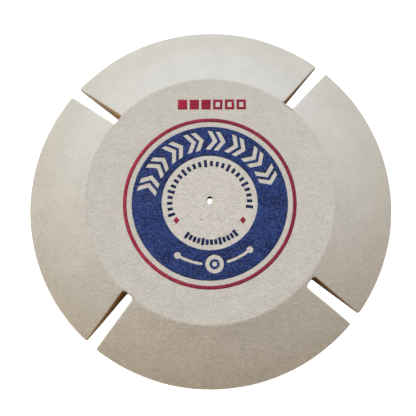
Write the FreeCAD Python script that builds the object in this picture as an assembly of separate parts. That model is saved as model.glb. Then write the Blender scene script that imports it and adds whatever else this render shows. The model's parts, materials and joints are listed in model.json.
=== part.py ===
import FreeCAD, Part

import math
import os

from FreeCAD import Vector

# A bevelled hard-felt polishing wheel with a pin hole, four cooling slots and a printed face.
# Row frame, in mm: the origin is the centre of the flat back, +Z points out of the printed face,
# and +Y points to the top of the print. The wheel lies on its back.

# --- Driving dimensions -------------------------------------------------------------------------

WHEEL_DIAMETER = 254.0
WHEEL_THICKNESS = 25.4
FACE_DIAMETER = 169.4
RIM_LAND_HEIGHT = 3.8

BEVEL_SLOPE_DEG = 26.2
BEVEL_CURVES_FROM_RADIUS = 113.0
FACE_EDGE_ROUND = 2.0
RIM_EDGE_ROUND = 1.0
BACK_EDGE_ROUND = 0.8

PIN_HOLE_DIAMETER = 3.5
PIN_HOLE_LIP_ROUND = 0.6
PIN_HOLE_TAPER_DEPTH = 20.0
PIN_HOLE_BACK_DIAMETER = 10.2

# One value for each slot, anticlockwise from the upper right: they were cut by hand and differ a little.
SLOT_HEADINGS_DEG = (51.1, 142.0, 230.7, 323.4)
SLOT_WIDTHS = (8.4, 8.0, 8.9, 8.9)
SLOT_SIDE_OFFSETS = (-0.7, -4.8, -1.4, -4.8)
SLOT_INNER_ENDS = (84.8, 84.2, 83.6, 86.4)
SLOT_INNER_CORNER_ROUNDS = (0.8, 0.8, 2.3, 2.3)
SLOT_MOUTH_ROUND = 1.4

INK_DEPTH = 0.4
PRINT_CENTRE = Vector(-0.15, -2.35, 0)

RED_RING_OUTER_RADIUS = 58.7
RED_RING_WIDTH = 2.5

BLUE_BAND_OUTER_RADIUS = 52.8
BLUE_BAND_INNER_RADIUS = 32.4

CHEVRON_COUNT = 8
CHEVRON_FIRST_DEG = 163.0
CHEVRON_PITCH_DEG = -19.7
CHEVRON_RADIUS = 43.0
CHEVRON_HEIGHT = 13.2
CHEVRON_ARM = 3.3
CHEVRON_SPREAD = 4.4
CHEVRON_STACK = 5.6

BAND_BAR_RADIUS = 41.8
BAND_BAR_WIDTH = 1.9
BAND_BAR_ARCS_DEG = ((239.0, 262.0), (287.0, 310.0))
BAND_BULB_RADIUS = 2.3
BAND_RING_RADIUS = 6.2
BAND_RING_BLUE_RADII = (3.4, 1.7)
BAND_RING_DEG = 274.5

TICK_RADIUS = 27.0
TICK_WIDTH = 2.0
TICK_HEIGHT_MINOR = 3.6
TICK_HEIGHT_MAJOR = 5.0
TICK_MAJOR_EVERY = 4
UPPER_TICKS_DEG = (198.0, -6.0)
UPPER_TICK_COUNT = 25
LOWER_TICKS_DEG = (235.6, 309.6)
LOWER_TICK_COUNT = 13

DIAMOND_HALF_WIDTH = 2.0
DIAMOND_HALF_HEIGHT = 2.5
DIAMOND_SPREAD = 22.4
DIAMOND_DROP = 12.1

GRADE_BLOCKS = 6
GRADE_FILLED = 3
GRADE_BLOCK_WIDTH = 6.4
GRADE_BLOCK_HEIGHT = 7.0
GRADE_BLOCK_PITCH = 8.1
GRADE_OUTLINE = 1.7
GRADE_CENTRE = Vector(1.4, 66.4, 0)

UP = Vector(0, 0, 1)
WHEEL_RADIUS = WHEEL_DIAMETER / 2
FACE_RADIUS = FACE_DIAMETER / 2
INK_FLOOR = WHEEL_THICKNESS - INK_DEPTH


# --- Plane geometry -----------------------------------------------------------------------------

def polar(radius, degrees):
    """The point at a radius and a heading counted anticlockwise from +X."""
    angle = math.radians(degrees)
    return Vector(radius * math.cos(angle), radius * math.sin(angle), 0)


def tangent_arc(start, direction, end):
    """The arc that leaves start along direction and arrives at end."""
    chord = end - start
    turn = direction.getAngle(chord)
    across = (direction - chord * (direction.dot(chord) / chord.dot(chord))).normalize()
    middle = start + chord * 0.5 + across * (chord.Length / 2 * math.tan(turn / 2))
    return Part.Arc(start, middle, end).toShape()


def line(start, end):
    return Part.LineSegment(start, end).toShape()


def extruded(wire, bottom, top):
    """The closed flat wire at z=0 made into a solid between two heights."""
    face = Part.Face(wire)
    face.translate(Vector(0, 0, bottom))
    return face.extrude(Vector(0, 0, top - bottom))


def polygon_solid(points, bottom, top):
    return extruded(Part.makePolygon(list(points) + [points[0]]), bottom, top)


def ring_solid(outer, inner, centre, bottom, top):
    base = centre + Vector(0, 0, bottom)
    disc = Part.makeCylinder(outer, top - bottom, base, UP)
    return disc.cut(Part.makeCylinder(inner, top - bottom, base, UP))


def in_ink(points):
    """A flat polygon as an ink-soaked layer in the printed face."""
    return polygon_solid(points, INK_FLOOR, WHEEL_THICKNESS)


def placed_on_arc(solid, radius, degrees):
    """Moves a solid drawn about the origin to the print's arc, its own +Y pointing outwards."""
    moved = solid.copy()
    moved.rotate(Vector(0, 0, 0), UP, degrees - 90)
    moved.translate(PRINT_CENTRE + polar(radius, degrees))
    return moved


# --- The felt body ------------------------------------------------------------------------------

def wheel_blank():
    """The turned wheel before it is slotted: flat back, short rim, bevel and flat face."""
    slope = math.radians(BEVEL_SLOPE_DEG)
    down_bevel = Vector(math.cos(slope), 0, -math.sin(slope))
    straight_run = BEVEL_CURVES_FROM_RADIUS - FACE_RADIUS
    axis_back = Vector(0, 0, 0)
    axis_face = Vector(0, 0, WHEEL_THICKNESS)
    face_edge = Vector(FACE_RADIUS, 0, WHEEL_THICKNESS)
    shoulder = face_edge + down_bevel * (straight_run / math.cos(slope))
    rim_top = Vector(WHEEL_RADIUS, 0, RIM_LAND_HEIGHT)
    rim_back = Vector(WHEEL_RADIUS, 0, 0)
    profile = Part.Wire([
        line(axis_back, axis_face),
        line(axis_face, face_edge),
        line(face_edge, shoulder),
        tangent_arc(shoulder, down_bevel, rim_top),
        line(rim_top, rim_back),
        line(rim_back, axis_back),
    ])
    blank = Part.Face(profile).revolve(Vector(0, 0, 0), UP, 360)
    for radius, height, fillet in (
        (FACE_RADIUS, WHEEL_THICKNESS, FACE_EDGE_ROUND),
        (WHEEL_RADIUS, RIM_LAND_HEIGHT, RIM_EDGE_ROUND),
        (WHEEL_RADIUS, 0, BACK_EDGE_ROUND),
    ):
        blank = blank.makeFillet(fillet, [circle_edge(blank, radius, height)])
    return blank


def circle_edge(solid, radius, height):
    """The round edge about the wheel's axis with this radius and height."""
    for edge in solid.Edges:
        if not isinstance(edge.Curve, Part.Circle):
            continue
        same_radius = abs(edge.Curve.Radius - radius) < 1e-3
        same_height = abs(edge.Curve.Center.z - height) < 1e-3
        if same_radius and same_height:
            return edge
    raise ValueError("no round edge at radius %g, height %g" % (radius, height))


def pin_hole():
    """The pin hole, opened to a taper from the back, with a worn lip at the face."""
    radius = PIN_HOLE_DIAMETER / 2
    lip = PIN_HOLE_LIP_ROUND
    lip_middle = lip * (1 - math.sqrt(0.5))
    past = 1.0
    taper_slope = (PIN_HOLE_BACK_DIAMETER / 2 - radius) / PIN_HOLE_TAPER_DEPTH
    back_corner = Vector(radius + taper_slope * (PIN_HOLE_TAPER_DEPTH + past), 0, -past)
    taper_top = Vector(radius, 0, PIN_HOLE_TAPER_DEPTH)
    lip_start = Vector(radius, 0, WHEEL_THICKNESS - lip)
    lip_end = Vector(radius + lip, 0, WHEEL_THICKNESS)
    above_lip = lip_end + Vector(0, 0, past)
    profile = Part.Wire([
        line(Vector(0, 0, -past), back_corner),
        line(back_corner, taper_top),
        line(taper_top, lip_start),
        Part.Arc(lip_start, Vector(radius + lip_middle, 0, WHEEL_THICKNESS - lip_middle), lip_end).toShape(),
        line(lip_end, above_lip),
        line(above_lip, Vector(0, 0, WHEEL_THICKNESS + past)),
        line(Vector(0, 0, WHEEL_THICKNESS + past), Vector(0, 0, -past)),
    ])
    return Part.Face(profile).revolve(Vector(0, 0, 0), UP, 360)


def slot_side(side, width, side_offset, inner_end, inner):
    """One long side of a slot that runs out along +X: its corner at the inner end, then its mouth."""
    mouth = SLOT_MOUTH_ROUND
    past_rim = WHEEL_RADIUS + 5
    edge_y = side_offset + side * width / 2
    flare_y = edge_y + side * mouth
    rim_x = math.sqrt(WHEEL_RADIUS ** 2 - flare_y ** 2)
    bend = math.sqrt(0.5)
    end_point = Vector(inner_end, edge_y - side * inner, 0)
    inner_middle = Vector(inner_end + inner * (1 - bend), edge_y - side * inner * (1 - bend), 0)
    side_start = Vector(inner_end + inner, edge_y, 0)
    side_end = Vector(rim_x - mouth, edge_y, 0)
    mouth_middle = Vector(rim_x - mouth * (1 - bend), edge_y + side * mouth * (1 - bend), 0)
    mouth_end = Vector(rim_x, flare_y, 0)
    outside = Vector(past_rim, flare_y, 0)
    edges = [
        Part.Arc(end_point, inner_middle, side_start).toShape(),
        line(side_start, side_end),
        Part.Arc(side_end, mouth_middle, mouth_end).toShape(),
        line(mouth_end, outside),
    ]
    return edges, end_point, outside


def cooling_slot(heading, *sizes):
    """The cutter for one slot: a flat inner end, parallel sides and a mouth with rounded corners."""
    left_edges, left_end, left_out = slot_side(1, *sizes)
    right_edges, right_end, right_out = slot_side(-1, *sizes)
    out_and_back = left_edges + [line(left_out, right_out)] + right_edges[::-1]
    wire = Part.Wire(out_and_back + [line(right_end, left_end)])
    cutter = extruded(wire, -1, WHEEL_THICKNESS + 1)
    cutter.rotate(Vector(0, 0, 0), UP, heading)
    return cutter


def felt_body(ink_layers):
    """The single piece of pressed felt, with a shallow pocket where each ink layer has soaked in."""
    body = wheel_blank().cut(pin_hole())
    slots = zip(
        SLOT_HEADINGS_DEG, SLOT_WIDTHS, SLOT_SIDE_OFFSETS, SLOT_INNER_ENDS, SLOT_INNER_CORNER_ROUNDS
    )
    for slot in slots:
        body = body.cut(cooling_slot(*slot))
    return body.cut(ink_layers)


# --- The printed ink ----------------------------------------------------------------------------

def red_ink_ring():
    inner = RED_RING_OUTER_RADIUS - RED_RING_WIDTH
    return ring_solid(RED_RING_OUTER_RADIUS, inner, PRINT_CENTRE, INK_FLOOR, WHEEL_THICKNESS)


def chevron(shift):
    """A bare-felt chevron that points clockwise round the wheel, moved along by shift."""
    half = CHEVRON_HEIGHT / 2
    back = shift - CHEVRON_SPREAD / 2
    tip = shift + CHEVRON_SPREAD / 2
    return in_ink([
        Vector(back, half, 0),
        Vector(back + CHEVRON_ARM, half, 0),
        Vector(tip + CHEVRON_ARM, 0, 0),
        Vector(back + CHEVRON_ARM, -half, 0),
        Vector(back, -half, 0),
        Vector(tip, 0, 0),
    ])


def band_bar(first_deg, last_deg):
    """A bare-felt bar with round ends that follows the blue band."""
    half = BAND_BAR_WIDTH / 2
    middle_deg = (first_deg + last_deg) / 2
    corners = {}
    for name, radius in (("outer", BAND_BAR_RADIUS + half), ("inner", BAND_BAR_RADIUS - half)):
        corners[name] = [polar(radius, degrees) for degrees in (first_deg, middle_deg, last_deg)]
    outer = corners["outer"]
    inner = corners["inner"]
    along = math.degrees(half / BAND_BAR_RADIUS)
    wire = Part.Wire([
        Part.Arc(*outer).toShape(),
        Part.Arc(outer[2], polar(BAND_BAR_RADIUS, last_deg + along), inner[2]).toShape(),
        Part.Arc(inner[2], inner[1], inner[0]).toShape(),
        Part.Arc(inner[0], polar(BAND_BAR_RADIUS, first_deg - along), outer[0]).toShape(),
    ])
    bar = extruded(wire, INK_FLOOR, WHEEL_THICKNESS)
    bar.translate(PRINT_CENTRE)
    return bar


def ink_disc(radius, centre):
    return Part.makeCylinder(radius, INK_DEPTH, centre + Vector(0, 0, INK_FLOOR), UP)


def blue_ink_band():
    """The wide blue band with turning-direction chevrons, bulb-ended bars and a ringed disc left bare."""
    bare = []
    for index in range(CHEVRON_COUNT):
        heading = CHEVRON_FIRST_DEG + index * CHEVRON_PITCH_DEG
        for shift in (-CHEVRON_STACK / 2, CHEVRON_STACK / 2):
            centred = chevron(shift - CHEVRON_ARM / 2)
            bare.append(placed_on_arc(centred, CHEVRON_RADIUS, heading))
    (left_end, _), (_, right_end) = BAND_BAR_ARCS_DEG
    for first_deg, last_deg in BAND_BAR_ARCS_DEG:
        bare.append(band_bar(first_deg, last_deg))
    for bulb_deg in (left_end, right_end):
        bare.append(ink_disc(BAND_BULB_RADIUS, PRINT_CENTRE + polar(BAND_BAR_RADIUS, bulb_deg)))
    ring_centre = PRINT_CENTRE + polar(BAND_BAR_RADIUS, BAND_RING_DEG)
    blue_outer, blue_inner = BAND_RING_BLUE_RADII
    bare.append(ring_solid(BAND_RING_RADIUS, blue_outer, ring_centre, INK_FLOOR, WHEEL_THICKNESS))
    bare.append(ink_disc(blue_inner, ring_centre))
    band = ring_solid(
        BLUE_BAND_OUTER_RADIUS, BLUE_BAND_INNER_RADIUS, PRINT_CENTRE, INK_FLOOR, WHEEL_THICKNESS
    )
    return band.cut(bare)


def tick_arc(arc_deg, count):
    """Short radial ticks evenly spaced along an arc inside the blue band."""
    first_deg, last_deg = arc_deg
    half = TICK_WIDTH / 2
    ticks = []
    for index in range(count):
        heading = first_deg + (last_deg - first_deg) * index / (count - 1)
        is_major = index % TICK_MAJOR_EVERY == 0
        reach = (TICK_HEIGHT_MAJOR if is_major else TICK_HEIGHT_MINOR) / 2
        tick = in_ink([Vector(-half, -reach, 0), Vector(half, -reach, 0),
                       Vector(half, reach, 0), Vector(-half, reach, 0)])
        ticks.append(placed_on_arc(tick, TICK_RADIUS, heading))
    return Part.makeCompound(ticks)


def red_diamond(side):
    wide = DIAMOND_HALF_WIDTH
    tall = DIAMOND_HALF_HEIGHT
    centre = PRINT_CENTRE + Vector(side * DIAMOND_SPREAD, -DIAMOND_DROP, 0)
    return in_ink([centre + Vector(wide, 0, 0), centre + Vector(0, tall, 0),
                   centre + Vector(-wide, 0, 0), centre + Vector(0, -tall, 0)])


def block_outline(centre, inset):
    wide = GRADE_BLOCK_WIDTH / 2 - inset
    tall = GRADE_BLOCK_HEIGHT / 2 - inset
    return in_ink([centre + Vector(-wide, -tall, 0), centre + Vector(wide, -tall, 0),
                   centre + Vector(wide, tall, 0), centre + Vector(-wide, tall, 0)])


def red_grade_scale():
    """A hardness scale of blocks, the first ones solid and the rest outlined."""
    blocks = []
    for index in range(GRADE_BLOCKS):
        along = (index - (GRADE_BLOCKS - 1) / 2) * GRADE_BLOCK_PITCH
        centre = GRADE_CENTRE + Vector(along, 0, 0)
        block = block_outline(centre, 0)
        if index >= GRADE_FILLED:
            block = block.cut(block_outline(centre, GRADE_OUTLINE))
        blocks.append(block)
    return Part.makeCompound(blocks)


# --- Output -------------------------------------------------------------------------------------

def main():
    nodes = {
        "red_ink_ring": red_ink_ring(),
        "blue_ink_band": blue_ink_band(),
        "red_grade_scale": red_grade_scale(),
        "blue_tick_arc_upper": tick_arc(UPPER_TICKS_DEG, UPPER_TICK_COUNT),
        "blue_tick_arc_lower": tick_arc(LOWER_TICKS_DEG, LOWER_TICK_COUNT),
        "red_diamond_left": red_diamond(-1),
        "red_diamond_right": red_diamond(1),
    }
    ink_layers = [solid for shape in nodes.values() for solid in shape.Solids]
    nodes["felt_body"] = felt_body(ink_layers)
    os.makedirs("parts", exist_ok=True)
    for name, shape in nodes.items():
        shape.exportStep("parts/%s.step" % name)
        print("%-20s %3d solids %12.1f mm3 valid %s" % (name, len(shape.Solids), shape.Volume, shape.isValid()))


main()
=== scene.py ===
import json
import math

import bmesh
import bpy
import numpy as np
from mathutils import Matrix, Vector, geometry, noise


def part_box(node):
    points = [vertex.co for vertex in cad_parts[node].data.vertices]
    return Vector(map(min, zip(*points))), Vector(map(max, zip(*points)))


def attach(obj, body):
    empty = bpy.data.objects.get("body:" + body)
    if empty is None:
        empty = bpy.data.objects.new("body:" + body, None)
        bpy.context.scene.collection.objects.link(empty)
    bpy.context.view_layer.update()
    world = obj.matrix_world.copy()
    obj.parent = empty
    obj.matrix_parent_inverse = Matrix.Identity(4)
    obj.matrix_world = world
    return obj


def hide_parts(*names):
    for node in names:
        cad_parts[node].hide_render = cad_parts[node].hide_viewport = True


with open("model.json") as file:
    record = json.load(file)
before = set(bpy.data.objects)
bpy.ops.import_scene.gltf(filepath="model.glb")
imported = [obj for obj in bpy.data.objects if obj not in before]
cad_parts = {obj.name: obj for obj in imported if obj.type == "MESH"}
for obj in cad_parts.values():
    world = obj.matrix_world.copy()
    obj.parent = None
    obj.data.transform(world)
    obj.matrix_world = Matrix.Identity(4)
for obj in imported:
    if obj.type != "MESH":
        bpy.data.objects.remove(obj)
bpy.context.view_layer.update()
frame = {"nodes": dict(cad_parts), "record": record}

# Looks for a bevelled pressed-felt polishing wheel with printed marks. Everything is in metres, in the
# frame of the CAD model: the wheel lies on its back at z=0, its printed face looks up +Z, and +Y points
# to the top of the print. Up, left and right below are as the printed face is seen.

MM = 0.001

# --- Sizes from the frame -----------------------------------------------------------------------

BODY_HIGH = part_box("felt_body")[1]
THICKNESS = BODY_HIGH.z
WHEEL_RADIUS = BODY_HIGH.x
BORE = next(m for m in frame["record"]["mounts"] if m["name"] == "pin_hole")
BORE_RADIUS = BORE["dims"]["r_mm"] * MM

# --- Sizes that repeat the CAD model's driving dimensions ---------------------------------------

FACE_RADIUS = 84.7 * MM
RIM_LAND = 3.8 * MM
BEVEL_SLOPE = math.radians(26.2)
BEVEL_CURVES_FROM = 113.0 * MM
TAPER_DEPTH = 20.0 * MM
TAPER_BACK_RADIUS = 5.1 * MM
SLOT_MOUTH = 1.4 * MM

# One value for each slot, anticlockwise from the upper right.
SLOT_HEADINGS = [math.radians(a) for a in (51.1, 142.0, 230.7, 323.4)]
SLOT_WIDTHS = [w * MM for w in (8.4, 8.0, 8.9, 8.9)]
SLOT_SIDE_OFFSETS = [y * MM for y in (-0.7, -4.8, -1.4, -4.8)]
SLOT_INNER_ENDS = [x * MM for x in (84.8, 84.2, 83.6, 86.4)]
SLOT_CORNERS = [r * MM for r in (0.8, 0.8, 2.3, 2.3)]
SLOT_COUNT = len(SLOT_HEADINGS)

# --- Softened edges: the radius of each rounding ------------------------------------------------

LIP_ROUND = 0.4 * MM
TAPER_ROUND = 2.0 * MM
FACE_EDGE_ROUND = 4.0 * MM
RIM_ROUND = 1.0 * MM
BACK_ROUND = 0.8 * MM
CUT_EDGE_ROUND = 0.7 * MM

# The bevel's crown is rounded a little tighter than the arc that would reach the rim.
CROWN_SHARE = 0.9

# --- The mesh's grain ---------------------------------------------------------------------------

RING_STEP = 1.5 * MM
BACK_RING_STEP = 3.0 * MM
BORE_RING_STEP = 2.5 * MM

# Grid lines stand close together beside a slot, at these distances on a circle of the middle radius.
EDGE_STEPS = [s * MM for s in (0, 0.12, 0.3, 0.6, 1.0)]
SECTOR_MIDDLE = 105 * MM
SECTOR_COLUMNS = 84
SLOT_END_COLUMNS = 8
SLOT_CORNER_RINGS = 4
SLOT_MOUTH_RINGS = 5
WALL_ROWS = 10

# Radii are rounded to a micrometre, so that rings which should be the same are, within a hair.
MICROMETRE_DIGITS = 6
HAIR = 1e-9
MERGE_REACH = 0.003 * MM

# --- How the wheel was cut and worn -------------------------------------------------------------

# The slots' grids all start at this radius, and each inner end is then moved to its own place, along
# with the felt around it up to this reach.
SLOT_START = 84.2 * MM
SLOT_END_REACH = 18 * MM

# A slot's walls lean sideways by this much from face to back, and its anticlockwise wall may twist.
SLOT_LEANS = [lean * MM for lean in (0.80, 0.30, 0.70, 0.25)]
SLOT_TWISTS = [twist * MM for twist in (0.5, 0.0, 0.0, 0.0)]
SLOT_LEAN_REACH = 8 * MM
SLOT_TWIST_START = 3 * MM

# The spindle has pulled the pin hole's lower lip this way, by up to the hole's own radius.
HOLE_WEAR = (-0.20, -0.95)
HOLE_WEAR_GROWTH = 3
HOLE_WEAR_DEPTH = 16 * MM
HOLE_WEAR_REACH = 10 * MM

# The felt's unevenness: the size of the swells, a shift of the pattern, and their height.
SWELLS = (
    (34 * MM, (0, 0, 0), 0.16 * MM),
    (11 * MM, (7, 3, 1), 0.06 * MM),
    (4.5 * MM, (2, 9, 4), 0.035 * MM),
)

# --- Painted shade in the slots, and how the felt was sanded and rubbed -------------------------

# One value for each slot: how much painted shade darkens its walls, from 0 to 1, at the inner end and at
# the mouth, how much painted grey shade lies on them towards the mouth, and how dark the lip at its inner
# end is.
SLOT_INNER_SHADE = (0.34, 0.03, 0.74, 0.84)
SLOT_MOUTH_SHADE = (0.95, 0.08, 0.28, 0.40)
SLOT_MOUTH_GREY_SHADE = (0.6, 0.9, 0.1, 0.3)
SLOT_END_LIP_DARKNESS = (0.50, 0.1, 0.2, 0.1)

# How far marks reach: from a cut wall, above the back, below the face, and from a slot's outline.
WALL_SKIN = 0.02 * MM
WALL_START_SLACK = 0.1 * MM
BACK_SKIN = 0.5 * MM
BORE_LIP = 0.2 * MM
SIDE_SINGE_REACH = 1.2 * MM
END_LIP_REACH = 1.4 * MM
END_LIP_FADE = 0.8 * MM
END_LIP_OUTWARD = 1.0 * MM
END_LIP_ASIDE = 0.4 * MM

# The sanding starts across this width at the face's edge, and up to this share wider on the left.
SANDING_EDGE = 2.5 * MM
SANDING_EDGE_LEFT = 1.2

# How much of the nap is gone: a mean share, and what is added towards the top and the right.
FACE_RUB = 0.10
FACE_RUB_UP = 0.20
BEVEL_RUB = 0.42
BEVEL_RUB_UP = 0.38
BEVEL_RUB_RIGHT = 0.12

# The middle of the face, inside the printed band, is lighter and has more nap.
MIDDLE_RADIUS = 40 * MM
MIDDLE_FADE = 12 * MM
MIDDLE_NAP = 0.30


# --- Mesh helpers -------------------------------------------------------------------------------

def mesh_object(name, points, faces, smooth=True):
    mesh = bpy.data.meshes.new(name)
    mesh.from_pydata([tuple(p) for p in points], [], faces)
    mesh.polygons.foreach_set("use_smooth", [smooth] * len(mesh.polygons))
    mesh.update()
    piece = bpy.data.objects.new(name, mesh)
    bpy.context.scene.collection.objects.link(piece)
    return piece


def merged_object(name, patches):
    """One skin from grids that meet edge to edge."""
    points, faces, start = [], [], 0
    for grid, sign in patches:
        rows, columns = grid.shape[:2]
        index = start + np.arange(rows * columns).reshape(rows, columns)
        quads = np.stack([index[:-1, :-1], index[1:, :-1], index[1:, 1:], index[:-1, 1:]], axis=-1)
        faces += quads.reshape(-1, 4)[:, ::sign].tolist()
        points.append(grid.reshape(-1, 3))
        start += rows * columns
    piece = mesh_object(name, np.concatenate(points), faces)
    skin = bmesh.new()
    skin.from_mesh(piece.data)
    bmesh.ops.remove_doubles(skin, verts=skin.verts, dist=MERGE_REACH)
    bmesh.ops.recalc_face_normals(skin, faces=skin.faces)
    skin.to_mesh(piece.data)
    skin.free()
    return piece


def move_points(mesh, points):
    mesh.vertices.foreach_set("co", points.astype(np.float32).ravel())
    mesh.update()


def float_attribute(mesh, name, values):
    attribute = mesh.attributes.new(name, "FLOAT", "POINT")
    attribute.data.foreach_set("value", np.asarray(values, np.float32))


def grid_points(radii, heights, angles):
    """A grid of points, from radii, heights and headings that spread over each other."""
    radii, heights, angles = np.broadcast_arrays(radii, heights, angles)
    return np.stack([radii * np.cos(angles), radii * np.sin(angles), heights], axis=-1)


def polar(points):
    """The radius and the heading of each point."""
    return np.hypot(points[:, 0], points[:, 1]), np.arctan2(points[:, 1], points[:, 0])


def share(value, start, end):
    """How far value has come from start to end, from 0 to 1."""
    return np.clip((value - start) / (end - start), 0, 1)


# --- The wheel's profile ------------------------------------------------------------------------

def corner_arc(before, corner, after, radius, steps=5):
    """Points of the arc that rounds a corner of a path in the (radius, height) plane."""
    before, corner, after = (np.array(p, float) for p in (before, corner, after))
    to_before = (before - corner) / np.linalg.norm(before - corner)
    to_after = (after - corner) / np.linalg.norm(after - corner)
    half_angle = math.acos(np.clip(to_before @ to_after, -1, 1)) / 2
    reach = radius / math.tan(half_angle)
    bisector = (to_before + to_after) / np.linalg.norm(to_before + to_after)
    centre = corner + bisector * radius / math.sin(half_angle)
    first = corner + to_before * reach - centre
    last = corner + to_after * reach - centre
    turn = math.acos(np.clip(first @ last / radius ** 2, -1, 1))
    points = []
    for part in np.linspace(0, 1, steps + 1):
        arm = math.sin((1 - part) * turn) * first + math.sin(part * turn) * last
        points.append(centre + arm / math.sin(turn))
    return np.array(points)


def densified(path, step):
    """The path with its long stretches divided."""
    points = [path[0]]
    for start, end in zip(path[:-1], path[1:]):
        count = max(1, math.ceil(np.linalg.norm(end - start) / step))
        points += [start + (end - start) * k / count for k in range(1, count + 1)]
    return np.array(points)


def bevel_crown():
    """The corner that the bevel's crown rounds over on its way to the rim, and the crown's radius."""
    straight = BEVEL_CURVES_FROM - FACE_RADIUS
    curve_start = np.array([BEVEL_CURVES_FROM, THICKNESS - straight * math.tan(BEVEL_SLOPE)])
    to_rim = np.array([WHEEL_RADIUS, RIM_LAND]) - curve_start
    bulge = math.atan2(-to_rim[1], to_rim[0]) - BEVEL_SLOPE
    reach = np.linalg.norm(to_rim) / 2 / math.cos(bulge)
    along = np.array([math.cos(BEVEL_SLOPE), -math.sin(BEVEL_SLOPE)])
    return curve_start + along * reach, CROWN_SHARE * reach / math.tan(bulge)


def profile_paths():
    """The wheel's section: the upper side, the back, and the bore, as (radius, height) points."""
    bore_low = (BORE_RADIUS, TAPER_DEPTH)
    bore_top = (BORE_RADIUS, THICKNESS)
    face_edge = (FACE_RADIUS, THICKNESS)
    shoulder, crown_radius = bevel_crown()
    rim_top = (WHEEL_RADIUS, RIM_LAND)
    rim_back = (WHEEL_RADIUS, 0)
    taper_back = (TAPER_BACK_RADIUS, 0)
    upper = np.vstack([
        corner_arc(bore_low, bore_top, face_edge, LIP_ROUND),
        corner_arc(bore_top, face_edge, shoulder, FACE_EDGE_ROUND),
        corner_arc(face_edge, shoulder, rim_top, crown_radius, steps=8),
        corner_arc(shoulder, rim_top, rim_back, RIM_ROUND),
    ])
    back = np.vstack([
        corner_arc(bore_low, taper_back, rim_back, BACK_ROUND, steps=4),
        corner_arc(taper_back, rim_back, rim_top, BACK_ROUND),
    ])
    taper_end = corner_arc(taper_back, bore_low, bore_top, TAPER_ROUND, steps=3)
    bore = np.vstack([back[:1], taper_end, upper[:1]])
    return upper, back, bore


def height_on(path, radius):
    return np.interp(radius, path[:, 0], path[:, 1])


# --- The slots ----------------------------------------------------------------------------------

def turn_from(heading, angle):
    """The turn from a heading to an angle, the short way round."""
    return np.mod(angle - heading + math.pi, 2 * math.pi) - math.pi


def slot_half_width(slot, radius):
    """Half the slot's width: narrower in its inner corners, wider in its rounded mouth."""
    corner = SLOT_CORNERS[slot]
    into_corner = np.clip(SLOT_START + corner - radius, 0, corner)
    into_mouth = np.clip(radius - (WHEEL_RADIUS - SLOT_MOUTH), 0, SLOT_MOUTH)
    corner_loss = corner - np.sqrt(corner ** 2 - into_corner ** 2)
    mouth_gain = SLOT_MOUTH - np.sqrt(SLOT_MOUTH ** 2 - into_mouth ** 2)
    return SLOT_WIDTHS[slot] / 2 - corner_loss + mouth_gain


def slot_side_angle(slot, side, radius):
    """The heading of a slot's long side where it meets a circle about the axis."""
    radius = np.maximum(radius, SLOT_START)
    across = SLOT_SIDE_OFFSETS[slot] + side * slot_half_width(slot, radius)
    return SLOT_HEADINGS[slot] + np.arcsin(across / radius)


def distance_to_slots(radius, angle):
    """How far a point is from the nearest slot's outline."""
    far = 1.0
    nearest = far
    for slot, heading in enumerate(SLOT_HEADINGS):
        turned = turn_from(heading, angle)
        across = np.abs(radius * np.sin(turned) - SLOT_SIDE_OFFSETS[slot])
        corner = SLOT_CORNERS[slot]
        outside_x = SLOT_START + corner - radius
        outside_y = across - SLOT_WIDTHS[slot] / 2 + corner
        inner_end = np.hypot(np.maximum(outside_x, 0), np.maximum(outside_y, 0)) - corner
        side = across - slot_half_width(slot, np.minimum(radius, WHEEL_RADIUS))
        distance = np.where(radius < SLOT_START + corner, inner_end, side)
        distance = np.where(np.abs(turned) < math.pi / 2, distance, far)
        nearest = np.minimum(nearest, np.maximum(distance, 0))
    return nearest


def nearest_slot_value(angle, values):
    """For each heading, the value of the slot that is nearest round the wheel."""
    turned = [np.abs(turn_from(heading, angle)) for heading in SLOT_HEADINGS]
    return np.array(values)[np.argmin(turned, axis=0)]


def slot_places(points):
    """Where points lie along and across the nearest slot, and its heading, offset and half width."""
    angle = polar(points)[1]
    heading = nearest_slot_value(angle, SLOT_HEADINGS)
    along = points[:, 0] * np.cos(heading) + points[:, 1] * np.sin(heading)
    across = points[:, 1] * np.cos(heading) - points[:, 0] * np.sin(heading)
    offset = nearest_slot_value(angle, SLOT_SIDE_OFFSETS)
    return along, across, heading, offset, nearest_slot_value(angle, SLOT_WIDTHS) / 2


def edge_drop(radius, angle):
    """How far the surface falls away into the rounded edge of a slot."""
    into = np.clip(CUT_EDGE_ROUND - distance_to_slots(radius, angle), 0, CUT_EDGE_ROUND)
    fall = CUT_EDGE_ROUND - np.sqrt(CUT_EDGE_ROUND ** 2 - into ** 2)
    before_rim = np.clip((WHEEL_RADIUS - radius) / SLOT_MOUTH, 0, 1)
    return fall * np.sqrt(before_rim)


# --- The wheel's surface as grids ---------------------------------------------------------------

def sector_columns(sector):
    """Where the columns of the sector after a slot lie, as shares of its width."""
    width = (SLOT_HEADINGS[(sector + 1) % SLOT_COUNT] - SLOT_HEADINGS[sector]) % (2 * math.pi)
    close = np.array(EDGE_STEPS) / (width * SECTOR_MIDDLE)
    middle = np.linspace(close[-1], 1 - close[-1], SECTOR_COLUMNS + 1)
    return np.concatenate([close[:-1], middle, 1 - close[:-1][::-1]])


def sector_angles(sector, radius):
    """The headings of a sector's columns on a ring of this radius."""
    first = slot_side_angle(sector, 1, radius)
    last = slot_side_angle((sector + 1) % SLOT_COUNT, -1, radius)
    return first + sector_columns(sector) * ((last - first) % (2 * math.pi))


def slot_end_angles(slot):
    """The headings across a slot's inner end."""
    first = slot_side_angle(slot, -1, SLOT_START)
    last = slot_side_angle(slot, 1, SLOT_START)
    return np.linspace(first, last, SLOT_END_COLUMNS + 1)


def ring_angles():
    """Every column's heading on a full ring inside the slots, and the first again."""
    angles = []
    for sector in range(SLOT_COUNT):
        angles += list(sector_angles(sector, SLOT_START)[:-1])
        angles += list(slot_end_angles((sector + 1) % SLOT_COUNT)[:-1])
    return np.array(angles + angles[:1])


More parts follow.
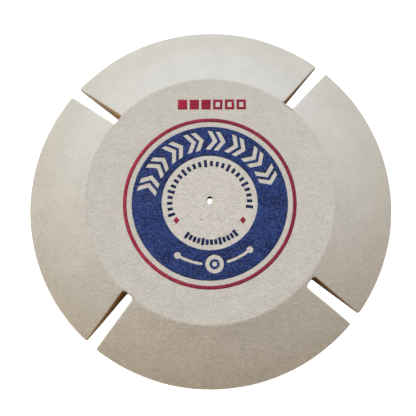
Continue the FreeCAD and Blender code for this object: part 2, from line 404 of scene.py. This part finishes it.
def ring_radii(path, step):
    """The radii of a side's rings: along its profile, and closer where the slots' outlines turn."""
    before_slot = SLOT_START - np.array(EDGE_STEPS)
    corner_turns = np.linspace(0, math.pi / 2, SLOT_CORNER_RINGS + 1)
    corners = SLOT_START + np.outer(sorted(set(SLOT_CORNERS)), 1 - np.cos(corner_turns)).ravel()
    mouth_turns = np.linspace(0, math.pi / 2, SLOT_MOUTH_RINGS + 1)
    mouths = WHEEL_RADIUS - SLOT_MOUTH * (1 - np.sin(mouth_turns))
    radii = np.concatenate([densified(path, step)[:, 0], before_slot, corners, mouths])
    return np.unique(np.round(np.minimum(radii, WHEEL_RADIUS), MICROMETRE_DIGITS))


def side_heights(path, radii, angles, sign):
    """The heights of a grid on the upper side, sign 1, or the back, sign -1."""
    return height_on(path, radii)[:, None] - sign * edge_drop(radii[:, None], angles)


def spanned(top, low):
    """Rows of heights from the upper side down to the back."""
    return top + (low - top) * np.linspace(0, 1, WALL_ROWS + 1)[:, None]


def sector_patches(sector, radii, upper, back):
    """The sector after a slot: its upper side, back, rim and two walls, and the slot's inner end."""
    angles = np.array([sector_angles(sector, radius) for radius in radii])
    top = side_heights(upper, radii, angles, 1)
    low = side_heights(back, radii, angles, -1)
    patches = [
        (grid_points(radii[:, None], top, angles), 1),
        (grid_points(radii[:, None], low, angles), -1),
        (grid_points(radii[-1], spanned(top[-1], low[-1]), angles[-1]), 1),
    ]
    for column, sign in ((0, -1), (-1, 1)):
        wall = spanned(top[:, column], low[:, column])
        patches.append((grid_points(radii, wall, angles[:, column]), sign))
    across = slot_end_angles(sector)
    top_end = side_heights(upper, radii[:1], across, 1)
    low_end = side_heights(back, radii[:1], across, -1)
    patches.append((grid_points(radii[0], spanned(top_end, low_end), across), 1))
    return patches


def wheel_patches():
    """The wheel's whole surface as grids that meet edge to edge, each with its outward turn."""
    upper, back, bore = profile_paths()
    full = ring_angles()
    patches = []
    for path, step, sign in ((upper, RING_STEP, 1), (back, BACK_RING_STEP, -1)):
        radii = ring_radii(path, step)
        radii = radii[radii <= SLOT_START + HAIR]
        patches.append((grid_points(radii[:, None], side_heights(path, radii, full, sign), full), sign))
    outer = ring_radii(upper, RING_STEP)
    outer = outer[outer >= SLOT_START - HAIR]
    for sector in range(SLOT_COUNT):
        patches += sector_patches(sector, outer, upper, back)
    bore_rings = densified(bore, BORE_RING_STEP)
    patches.append((grid_points(bore_rings[:, :1], bore_rings[:, 1:], full), 1))
    return patches


# --- Wear that bends the surface ----------------------------------------------------------------

def relief(point):
    """How far the pressed felt swells or sinks at a point, along its surface's normal."""
    return sum(height * noise.noise(point / size + Vector(shift)) for size, shift, height in SWELLS)


def worn_hole(points):
    """The points with the pin hole's lip pulled out to one side."""
    radius = polar(points)[0]
    near_hole = share(radius, HOLE_WEAR_REACH, 2 * BORE_RADIUS)
    near_face = share(points[:, 2], THICKNESS - HOLE_WEAR_DEPTH, THICKNESS)
    pull = np.clip(-HOLE_WEAR_GROWTH * points[:, 1], 0, BORE_RADIUS) * near_hole * near_face
    return points + pull[:, None] * (*HOLE_WEAR, 0)


def drawn_ends(points):
    """The points with each slot's inner end moved along to its own place, and made flat."""
    upper = profile_paths()[0]
    radius, angle = polar(points)
    along, across, heading, offset, half = slot_places(points)
    level = np.clip(across, offset - half, offset + half)
    start = np.sqrt(SLOT_START ** 2 - level ** 2)
    near = np.clip(1 - np.hypot(along - start, across - level) / SLOT_END_REACH, 0, 1)
    shift = (nearest_slot_value(angle, SLOT_INNER_ENDS) - start) * near ** 2 * (3 - 2 * near)
    moved = points + np.stack([shift * np.cos(heading), shift * np.sin(heading), 0 * shift], axis=1)
    moved[:, 2] *= height_on(upper, polar(moved)[0]) / height_on(upper, radius)
    return moved


def leaning_walls(points):
    """The points with the slots' walls tipped sideways below the surface, as cuts not quite square."""
    radius, angle = polar(points)
    _, across, heading, offset, _ = slot_places(points)
    surface = height_on(profile_paths()[0], radius)
    depth = np.clip(surface - points[:, 2], 0, surface)
    near = np.clip(1 - distance_to_slots(radius, angle) / SLOT_LEAN_REACH, 0, 1)
    lean = nearest_slot_value(angle, SLOT_LEANS) * depth / THICKNESS
    outward = share(radius, SLOT_START, WHEEL_RADIUS)
    twist = nearest_slot_value(angle, SLOT_TWISTS) * (2 * outward - 1) * (1 - depth / surface)
    on_twisted = share((across > offset) * (radius - SLOT_START), 0, SLOT_TWIST_START)
    tip = (lean + twist * on_twisted) * near
    return points + np.stack([-tip * np.sin(heading), tip * np.cos(heading), 0 * tip], axis=1)


# --- The felt -----------------------------------------------------------------------------------

def mark_slots(mesh, even):
    """Marks for the material: the slots' cut walls, their painted shade, the singed felt beside them, and a
    dark lip at each inner end.
    """
    radius, angle = polar(even)
    to_slot = distance_to_slots(radius, angle)
    outward = np.sqrt(share(radius, SLOT_START, WHEEL_RADIUS))
    inner_shade = nearest_slot_value(angle, SLOT_INNER_SHADE)
    mouth_shade = nearest_slot_value(angle, SLOT_MOUTH_SHADE)
    float_attribute(mesh, "cut", (to_slot < WALL_SKIN) & (radius > SLOT_START - WALL_START_SLACK))
    # Painted shade on the slot walls, set per slot from the inner end to the mouth.
    float_attribute(mesh, "wall_shade", inner_shade + (mouth_shade - inner_shade) * outward)
    float_attribute(mesh, "grey_shade", nearest_slot_value(angle, SLOT_MOUTH_GREY_SHADE) * outward)
    float_attribute(mesh, "by_slot", share(to_slot, SIDE_SINGE_REACH, 0))
    _, across, _, offset, half = slot_places(even)
    # A dark lip on the face around each slot's inner end.
    lip_dark = share(to_slot, END_LIP_REACH, END_LIP_REACH - END_LIP_FADE)
    lip_dark = lip_dark * share(np.abs(across - offset) - half, END_LIP_ASIDE, 0)
    lip_dark = lip_dark * (radius < SLOT_START + END_LIP_OUTWARD) * (even[:, 2] > BACK_SKIN)
    float_attribute(mesh, "end_lip_dark", lip_dark * nearest_slot_value(angle, SLOT_END_LIP_DARKNESS))


def mark_surface(mesh, even, drawn):
    """Marks for the material: the sanded bevel, the nap that is left, the middle, and the bore for its
    painted shade.
    """
    radius, angle = polar(even)
    reach = polar(drawn)[0]
    above_back = even[:, 2] > BACK_SKIN
    half_edge = SANDING_EDGE / 2 * (1 + SANDING_EDGE_LEFT * np.clip(-np.cos(angle), 0, 1))
    sanded = share(reach, FACE_RADIUS - half_edge, FACE_RADIUS + half_edge) * above_back
    middle = share(radius, MIDDLE_RADIUS, MIDDLE_RADIUS - MIDDLE_FADE) * above_back
    face_rub = FACE_RUB + FACE_RUB_UP * np.clip(even[:, 1] / FACE_RADIUS, -0.5, 1)
    bevel_rub = BEVEL_RUB + BEVEL_RUB_UP * np.sin(angle) + BEVEL_RUB_RIGHT * np.clip(np.cos(angle), 0, 1)
    rub = np.where(reach > FACE_RADIUS, bevel_rub, face_rub) * above_back
    float_attribute(mesh, "sanded", sanded)
    float_attribute(mesh, "nap", 1 - rub + MIDDLE_NAP * middle)
    float_attribute(mesh, "outward", share(reach, FACE_RADIUS, WHEEL_RADIUS))
    float_attribute(mesh, "middle", middle)
    # The bore's mask, where painted shade colours the pin hole near black.
    float_attribute(mesh, "bore", (radius < TAPER_BACK_RADIUS) & (even[:, 2] < THICKNESS - BORE_LIP))


def felt_wheel():
    """The felt itself, one closed skin, worn and gently uneven."""
    wheel = merged_object("felt_wheel", wheel_patches())
    mesh = wheel.data
    even = np.array([v.co for v in mesh.vertices])
    drawn = drawn_ends(even)
    worn = leaning_walls(worn_hole(drawn))
    move_points(mesh, worn)
    normals = np.array([v.normal for v in mesh.vertices])
    swell = np.array([relief(v.co) for v in mesh.vertices])
    move_points(mesh, worn + normals * swell[:, None])
    mark_slots(mesh, even)
    mark_surface(mesh, even, drawn)
    return wheel


# --- The printed ink ----------------------------------------------------------------------------

INK_PROUD = 0.10 * MM
INK_SUNK = 0.25 * MM
INK_GRAIN = 1.1 * MM
INK_ROW_STEP = 0.87
INK_EDGE_STEP = 0.5 * MM
INK_EDGE_CLEARANCE = 0.4
INK_BLEED = 0.10 * MM
INK_BLEED_SIZE = 0.9 * MM
LID_SKIN = 0.01 * MM
OUTLINE_MERGE = 0.002 * MM
OUTLINE_TOLERANCE = 1e-7


def outline_loops(node):
    """The closed outlines of a flat CAD layer's top, as lists of (x, y)."""
    layer = bmesh.new()
    layer.from_mesh(frame["nodes"][node].data)
    bmesh.ops.remove_doubles(layer, verts=layer.verts, dist=OUTLINE_MERGE)
    top = max(v.co.z for v in layer.verts)
    lids = {f for f in layer.faces if all(v.co.z > top - LID_SKIN for v in f.verts)}
    follows = {}
    for face in layer.faces:
        for side in face.loops:
            if face in lids and sum(f in lids for f in side.edge.link_faces) == 1:
                follows[side.vert] = side.link_loop_next.vert
    loops = []
    while follows:
        vertex, after = follows.popitem()
        loop = [vertex]
        while after in follows:
            loop.append(after)
            after = follows.pop(after)
        loops.append([(v.co.x, v.co.y) for v in loop])
    layer.free()
    return loops


def bled(loop):
    """An outline divided finely and made uneven, as ink creeps along the fibres."""
    points = []
    for start, end in zip(loop, loop[1:] + loop[:1]):
        start, end = np.array(start), np.array(end)
        count = max(1, round(np.linalg.norm(end - start) / INK_EDGE_STEP))
        points += [start + (end - start) * k / count for k in range(count)]
    uneven = []
    for x, y in points:
        creep = noise.noise_vector(Vector((x, y, 0)) / INK_BLEED_SIZE) * INK_BLEED
        uneven.append((x + creep.x, y + creep.y))
    return uneven


def inside(loops, points):
    """Which points lie inside an odd number of the loops."""
    odd = np.zeros(len(points), bool)
    for loop in loops:
        ax, ay = np.array(loop).T
        bx, by = np.roll(ax, -1), np.roll(ay, -1)
        for k in range(len(ax)):
            crosses = (ay[k] > points[:, 1]) != (by[k] > points[:, 1])
            span = by[k] - ay[k] if by[k] != ay[k] else 1.0
            at = ax[k] + (points[:, 1] - ay[k]) * (bx[k] - ax[k]) / span
            odd ^= crosses & (points[:, 0] < at)
    return odd


def edge_distance(loops, points):
    """How far each point is from the nearest outline, measured to its closely spaced points."""
    outline = np.concatenate([np.array(loop) for loop in loops])
    return np.array([np.min(np.hypot(*(outline - p).T)) for p in points])


def fill_points(loops):
    """Staggered rows of points inside the outlines, clear of their edges."""
    outline = np.concatenate([np.array(loop) for loop in loops])
    low, high = outline.min(0), outline.max(0)
    rows = np.arange(low[1], high[1], INK_GRAIN * INK_ROW_STEP)
    columns = np.arange(low[0], high[0], INK_GRAIN)
    across, up = np.meshgrid(columns, rows)
    across = across + (np.arange(len(rows)) % 2)[:, None] * INK_GRAIN / 2
    fill = np.stack([across.ravel(), up.ravel()], axis=1)
    fill = fill[inside(loops, fill)]
    if len(fill):
        fill = fill[edge_distance(loops, fill) > INK_EDGE_CLEARANCE * INK_GRAIN]
    return fill


def filled_outline(loops):
    """The flat points and the triangles that fill the outlines."""
    outline = np.concatenate([np.array(loop) for loop in loops])
    borders, start = [], 0
    for loop in loops:
        borders += [(start + k, start + (k + 1) % len(loop)) for k in range(len(loop))]
        start += len(loop)
    flat = [Vector(p) for p in np.concatenate([outline, fill_points(loops)])]
    flat, _, triangles = geometry.delaunay_2d_cdt(flat, borders, [], 0, OUTLINE_TOLERANCE)[:3]
    flat = np.array([tuple(p) for p in flat])
    triangles = np.array(triangles)
    return flat, triangles[inside(loops, flat[triangles].mean(axis=1))].tolist()


def ink_layer(name, node, material):
    """A thin closed layer of soaked-in ink that follows the felt's uneven face."""
    loops = [bled(loop) for loop in outline_loops(node)]
    flat, triangles = filled_outline(loops)
    lid = np.array([(x, y, THICKNESS + INK_PROUD + relief(Vector((x, y, THICKNESS)))) for x, y in flat])
    floor = lid - (0, 0, INK_PROUD + INK_SUNK)
    sides = dict.fromkeys(side for t in triangles for side in zip(t, t[1:] + t[:1]))
    rim = [(a, b) for a, b in sides if (b, a) not in sides]
    count = len(flat)
    faces = triangles + [[count + corner for corner in reversed(t)] for t in triangles]
    faces += [[b, a, count + a, count + b] for a, b in rim]
    piece = mesh_object(name, np.concatenate([lid, floor]), faces)
    float_attribute(piece.data, "from_edge", np.tile(edge_distance(loops, flat) / MM, 2))
    piece.data.materials.append(material)
    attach(piece, "root")
    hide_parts(node)
    return piece


# --- Materials ----------------------------------------------------------------------------------

def colour(red, green, blue):
    return (red, green, blue, 1.0)


def scaled(tone, factor):
    """A tone made lighter or darker."""
    return colour(*(min(1, c * factor) for c in tone[:3]))


BLACK = colour(0, 0, 0)
FACE_TONE = colour(0.582, 0.543, 0.480)
MIDDLE_TONE = colour(0.624, 0.580, 0.512)
SANDED_TONE = colour(0.560, 0.527, 0.467)
RIM_TONE = colour(0.512, 0.472, 0.402)
CUT_TONE = colour(0.600, 0.452, 0.288)
# The next three tones paint shade on the slot walls; the near black also darkens each slot's inner lip.
WALL_SHADE_TONE = colour(0.310, 0.175, 0.070)
NEAR_BLACK_TONE = colour(0.058, 0.030, 0.014)
WALL_GREY_SHADE_TONE = colour(0.275, 0.250, 0.212)
# Painted shade inside the pin hole.
BORE_SHADE_TONE = colour(0.020, 0.013, 0.010)
DULL_TONE = colour(0.045, 0.014, 0.030)
SPECK_TONE = colour(0.150, 0.070, 0.060)
SPECK_PLACE = (-6.1 * MM, -14.0 * MM, THICKNESS)

FELT_DARK = 0.74
FELT_LIGHT = 1.24
NAP_DEPTH = 0.25 * MM
FLECK_SOFTNESS = 0.06


class Tree:
    """A material's node tree, built up by short calls."""

    def __init__(self, name):
        self.material = bpy.data.materials.new(name)
        self.material.use_nodes = True
        self.nodes = self.material.node_tree.nodes
        self.links = self.material.node_tree.links
        self.shader = self.nodes["Principled BSDF"]
        self.place = self.nodes.new("ShaderNodeTexCoord").outputs["Object"]
        parts = self.nodes.new("ShaderNodeSeparateXYZ")
        self.links.new(self.place, parts.inputs[0])
        self.height = parts.outputs["Z"]
        self.across = parts.outputs["X"]

    def put(self, socket, value):
        if isinstance(value, bpy.types.NodeSocket):
            self.links.new(value, socket)
        else:
            socket.default_value = value

    def noise(self, size, detail=2.0, roughness=0.5, stretch=1.0, turn=0.0, shift=0.0):
        """Noise from 0 to 1 whose features are about size metres, drawn out along a turned X axis."""
        mapping = self.nodes.new("ShaderNodeMapping")
        mapping.inputs["Location"].default_value = (shift, shift, shift)
        mapping.inputs["Rotation"].default_value = (0, 0, turn)
        mapping.inputs["Scale"].default_value = (1, stretch, 1)
        self.links.new(self.place, mapping.inputs["Vector"])
        node = self.nodes.new("ShaderNodeTexNoise")
        node.inputs["Scale"].default_value = 1 / size
        node.inputs["Detail"].default_value = detail
        node.inputs["Roughness"].default_value = roughness
        self.links.new(mapping.outputs["Vector"], node.inputs["Vector"])
        return node.outputs["Fac"]

    def distance_from(self, point):
        """How far each place is from a point of the frame."""
        node = self.nodes.new("ShaderNodeVectorMath")
        node.operation = "DISTANCE"
        self.put(node.inputs[0], self.place)
        self.put(node.inputs[1], point)
        return node.outputs["Value"]

    def math(self, operation, first, second, clamp=False):
        node = self.nodes.new("ShaderNodeMath")
        node.operation = operation
        node.use_clamp = clamp
        self.put(node.inputs[0], first)
        self.put(node.inputs[1], second)
        return node.outputs[0]

    def add(self, first, second, clamp=False):
        return self.math("ADD", first, second, clamp)

    def times(self, first, second):
        return self.math("MULTIPLY", first, second)

    def ramp(self, value, low, high, to_low=0.0, to_high=1.0):
        """value stretched so that low to high becomes to_low to to_high, with soft ends."""
        node = self.nodes.new("ShaderNodeMapRange")
        node.interpolation_type = "SMOOTHSTEP"
        self.put(node.inputs["Value"], value)
        for name, number in zip(("From Min", "From Max", "To Min", "To Max"), (low, high, to_low, to_high)):
            node.inputs[name].default_value = number
        return node.outputs["Result"]

    def clouds(self, low, high, size, **kind):
        """Noise of some kind, with its middle range spread from low to high."""
        return self.ramp(self.noise(size, **kind), 0.3, 0.7, low, high)

    def mix(self, share_of_second, first, second):
        node = self.nodes.new("ShaderNodeMix")
        node.data_type = "RGBA"
        self.put(node.inputs["Factor"], share_of_second)
        self.put(node.inputs["A"], first)
        self.put(node.inputs["B"], second)
        return node.outputs["Result"]

    def tones(self, value, stops):
        """A colour picked along a scale of (position, colour) stops."""
        node = self.nodes.new("ShaderNodeValToRGB")
        scale = node.color_ramp.elements
        while len(scale) < len(stops):
            scale.new(1.0)
        for stop, (position, tone) in zip(scale, stops):
            stop.position = position
            stop.color = tone
        self.links.new(value, node.inputs["Fac"])
        return node.outputs["Color"]

    def attribute(self, name):
        node = self.nodes.new("ShaderNodeAttribute")
        node.attribute_name = name
        return node.outputs["Fac"]

    def bump(self, height, distance):
        node = self.nodes.new("ShaderNodeBump")
        node.inputs["Strength"].default_value = 1.0
        node.inputs["Distance"].default_value = distance
        self.links.new(height, node.inputs["Height"])
        self.links.new(node.outputs["Normal"], self.shader.inputs["Normal"])

    def shaded(self, base, roughness, specular):
        """The material, given its base colour and how it shines."""
        self.put(self.shader.inputs["Base Color"], base)
        self.shader.inputs["Roughness"].default_value = roughness
        self.shader.inputs["Specular IOR Level"].default_value = specular
        return self.material


def fibre_height(tree):
    """The felt's matted fibres as a height, from three runs of short streaks and a fine grain."""
    height = tree.noise(1.2 * MM, detail=2.5, roughness=0.55)
    for turn, shift in ((0.2, 3.0), (1.5, 5.0), (2.9, 8.0)):
        streaks = tree.noise(2.4 * MM, detail=1.0, stretch=2.6, turn=turn, shift=shift)
        height = tree.add(height, tree.times(streaks, 0.35))
    return height


def felt_lightness(tree, nap=1.0):
    """How light the felt is from place to place: soft blotches, and a speckle that follows the nap."""
    blotch = tree.clouds(0.44, 0.54, 13 * MM, detail=3.0)
    clumps = tree.clouds(-0.08, 0.08, 4.0 * MM, stretch=1.6)
    speckle = tree.clouds(-0.22, 0.22, 1.5 * MM, roughness=0.6, stretch=1.7)
    return tree.add(blotch, tree.times(tree.add(clumps, speckle), nap), clamp=True)


def felt_colour(tree, lightness, tone):
    """A tone with the felt's blotches and speckle in it."""
    return tree.mix(lightness, scaled(tone, FELT_DARK), scaled(tone, FELT_LIGHT))


def face_colour(tree, lightness):
    """The flat face: lighter in the middle, and with one dark speck."""
    face = felt_colour(tree, lightness, FACE_TONE)
    middle = felt_colour(tree, lightness, MIDDLE_TONE)
    face = tree.mix(tree.attribute("middle"), face, middle)
    speck = tree.ramp(tree.distance_from(SPECK_PLACE), 0.3 * MM, 1.0 * MM, 0.55, 0.0)
    return tree.mix(speck, face, SPECK_TONE)


def bevel_colour(tree, lightness):
    """The sanded bevel: browner towards the rim, with darker strokes along X."""
    outward = tree.ramp(tree.attribute("outward"), 0.25, 1.0)
    sanded = felt_colour(tree, lightness, SANDED_TONE)
    bevel = tree.mix(outward, sanded, felt_colour(tree, lightness, RIM_TONE))
    strokes = tree.clouds(0.0, 1.0, 5 * MM, stretch=3.8, shift=17.0)
    depth = tree.times(tree.attribute("nap"), 0.5)
    return tree.mix(tree.times(strokes, depth), bevel, tree.mix(0.85, BLACK, bevel))


def wall_shade_colour(tree):
    """A slot's wall: bare cut felt, darkened to black by painted shade, more towards the back, and greyed
    by painted shade towards the mouth.
    """
    # Painted shade: darker towards the back of the slot.
    deeper = tree.ramp(tree.height, 1 * MM, 15 * MM, 1.8, 0.75)
    patchy = tree.noise(6 * MM, detail=3.0, roughness=0.6, shift=6.0)
    uneven = tree.ramp(patchy, 0.35, 0.7, -0.12, 0.12)
    wall_shade = tree.add(tree.times(tree.attribute("wall_shade"), deeper), uneven, clamp=True)
    painted_wall = tree.tones(wall_shade, ((0.0, CUT_TONE), (0.5, WALL_SHADE_TONE), (1.0, NEAR_BLACK_TONE)))
    return tree.mix(tree.attribute("grey_shade"), painted_wall, WALL_GREY_SHADE_TONE)


def felt_material():
    tree = Tree("pressed_felt")
    lightness = felt_lightness(tree, tree.attribute("nap"))
    face = face_colour(tree, lightness)
    surface = tree.mix(tree.attribute("sanded"), face, bevel_colour(tree, lightness))
    singed = tree.ramp(tree.noise(5 * MM, shift=11.0), 0.45, 0.7, 0.0, 0.2)
    surface = tree.mix(tree.times(tree.attribute("by_slot"), singed), surface, CUT_TONE)
    # A dark lip around each slot's inner end.
    surface = tree.mix(tree.attribute("end_lip_dark"), surface, NEAR_BLACK_TONE)
    # The slot walls are coloured with painted shade.
    surface = tree.mix(tree.attribute("cut"), surface, wall_shade_colour(tree))
    # The bore is painted near black as shade.
    surface = tree.mix(tree.attribute("bore"), surface, BORE_SHADE_TONE)
    tree.bump(tree.times(fibre_height(tree), tree.attribute("nap")), NAP_DEPTH)
    return tree.shaded(surface, roughness=0.95, specular=0.0)


def ink_colour(tree, fibres, bare, ink, mottle, dulled):
    """The ink on the fibres: darker between them, veiled in places, and duller towards the right."""
    light = scaled(ink, 1 + mottle)
    matted = tree.ramp(fibres, 0.75, 1.3, 0.2, 0.8)
    grain = tree.clouds(-0.5, 0.5, 0.9 * MM, detail=1.0, shift=4.0)
    patches = tree.clouds(-0.28, 0.28, 7 * MM, shift=9.0)
    soak = tree.add(matted, tree.add(grain, patches), clamp=True)
    soaked = tree.mix(soak, scaled(ink, 1 - mottle), light)
    veil = tree.ramp(tree.noise(1.3 * MM, roughness=0.6, shift=7.0), 0.4, 0.75, 0.0, 0.45)
    soaked = tree.mix(veil, soaked, tree.mix(0.15, light, bare))
    dullness = tree.ramp(tree.across, -60 * MM, 20 * MM, 0.0, dulled)
    return tree.mix(dullness, soaked, DULL_TONE)


def ink_cover(tree, missing, edge_fade):
    """Where the ink covers the felt: it misses flecks, more at its edges and towards the left."""
    fleck = tree.noise(0.8 * MM, roughness=0.6, shift=13.0)
    near_edge = tree.ramp(tree.attribute("from_edge"), 0.0, edge_fade, 0.16, 0.0)
    rubbed = tree.ramp(tree.across, -50 * MM, -5 * MM, 0.06, 0.0)
    level = tree.math("SUBTRACT", tree.math("SUBTRACT", fleck, near_edge), rubbed)
    return tree.ramp(level, missing - FLECK_SOFTNESS, missing + FLECK_SOFTNESS, 0.3, 1.0)


def ink_material(name, ink, missing, edge_fade, mottle, dulled=0.0):
    """Felt whose fibres carry ink. edge_fade is in millimetres, like the from_edge attribute."""
    tree = Tree(name)
    bare = felt_colour(tree, felt_lightness(tree), FACE_TONE)
    fibres = fibre_height(tree)
    soaked = ink_colour(tree, fibres, bare, ink, mottle, dulled)
    inked = tree.mix(ink_cover(tree, missing, edge_fade), bare, soaked)
    tree.bump(fibres, NAP_DEPTH)
    return tree.shaded(inked, roughness=0.9, specular=0.1)


# --- The object ---------------------------------------------------------------------------------

def make_object():
    wheel = felt_wheel()
    wheel.data.materials.append(felt_material())
    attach(wheel, "root")
    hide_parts("felt_body")
    blue = ink_material("blue_ink", colour(0.015, 0.033, 0.128), 0.25, 0.3, 0.6)
    navy = ink_material("navy_ink", colour(0.007, 0.018, 0.070), 0.20, 0.15, 0.4)
    red = ink_material("red_ink", colour(0.320, 0.013, 0.040), 0.18, 0.15, 0.3, 0.15)
    worn_red = ink_material("worn_red_ink", colour(0.325, 0.026, 0.056), 0.19, 0.15, 0.3, 0.35)
    ink_layer("ink_band", "blue_ink_band", blue)
    ink_layer("ink_ring", "red_ink_ring", worn_red)
    ink_layer("ink_grade_scale", "red_grade_scale", red)
    for arc in ("upper", "lower"):
        ink_layer(f"ink_ticks_{arc}", f"blue_tick_arc_{arc}", navy)
    for side in ("left", "right"):
        ink_layer(f"ink_diamond_{side}", f"red_diamond_{side}", red)


# --- The studio ---------------------------------------------------------------------------------

CAMERA_BACKWARD = Vector((0.0098, -0.1743, 0.9846))
CAMERA_DISTANCE = 0.553
CAMERA_LENS = 67.6
CAMERA_SENSOR = 36.0
CAMERA_RANGE = (0.02, 20.0)
AIM_RIGHT = -1.6 * MM
AIM_UP = -1.7 * MM

LAMP_DISTANCE = 8.0
LAMP_SIZE = 4.8
ROOM_TONE = colour(1.0, 0.84, 0.70)
ROOM_STRENGTH = 0.36

FLOOR_REACH = 60.0
FLOOR_DROP = 0.4 * MM
FLOOR_TONE = colour(0.60, 0.60, 0.60)


def side_and_up(away):
    """The right and up directions of a camera that looks back along away, held upright."""
    right = Vector((0, 1, 0)).cross(away).normalized()
    return right, away.cross(right)


def make_camera():
    """A camera before the printed face, a little below the wheel's middle."""
    data = bpy.data.cameras.new("camera")
    data.lens = CAMERA_LENS
    data.sensor_width = CAMERA_SENSOR
    data.clip_start, data.clip_end = CAMERA_RANGE
    camera = bpy.data.objects.new("camera", data)
    bpy.context.scene.collection.objects.link(camera)
    back = CAMERA_BACKWARD.normalized()
    right, up = side_and_up(back)
    place = back * CAMERA_DISTANCE
    away = (place - right * AIM_RIGHT - up * AIM_UP).normalized()
    right, up = side_and_up(away)
    turn = Matrix((right, up, away)).transposed()
    camera.matrix_world = Matrix.Translation(place) @ turn.to_4x4()
    bpy.context.scene.camera = camera


def area_light(name, heading, elevation, watts, tint):
    """A soft panel that looks at the wheel from a heading and an elevation, in degrees."""
    data = bpy.data.lights.new(name, "AREA")
    data.shape = "DISK"
    data.size = LAMP_SIZE
    data.energy = watts
    data.color = tint
    lamp = bpy.data.objects.new(name, data)
    bpy.context.scene.collection.objects.link(lamp)
    turn, rise = math.radians(heading), math.radians(elevation)
    away = Vector((math.cos(turn) * math.cos(rise), math.sin(turn) * math.cos(rise), math.sin(rise)))
    lamp.location = away * LAMP_DISTANCE
    lamp.rotation_mode = "QUATERNION"
    lamp.rotation_quaternion = away.to_track_quat("Z", "Y")


def make_floor():
    """A pale, softly lit table top."""
    corners = [(-1, -1), (1, -1), (1, 1), (-1, 1)]
    points = [(x * FLOOR_REACH, y * FLOOR_REACH, -FLOOR_DROP) for x, y in corners]
    floor = mesh_object("floor", points, [(0, 1, 2, 3)], False)
    tree = Tree("pale_table")
    tree.shader.inputs["Emission Color"].default_value = colour(1.0, 1.0, 1.0)
    tree.shader.inputs["Emission Strength"].default_value = 1.0
    floor.data.materials.append(tree.shaded(FLOOR_TONE, roughness=1.0, specular=0.0))


def make_studio():
    scene = bpy.context.scene
    scene.view_settings.view_transform = "Standard"
    world = bpy.data.worlds.new("studio")
    world.use_nodes = True
    background = world.node_tree.nodes["Background"]
    background.inputs["Color"].default_value = ROOM_TONE
    background.inputs["Strength"].default_value = ROOM_STRENGTH
    scene.world = world
    area_light("key", 105, 30, 715, (0.68, 0.83, 1.0))
    area_light("fill_left", 195, 20, 300, (1.0, 0.86, 0.69))
    area_light("fill_right", 15, 20, 264, (1.0, 1.0, 1.0))
    make_floor()


make_object()
make_camera()
make_studio()
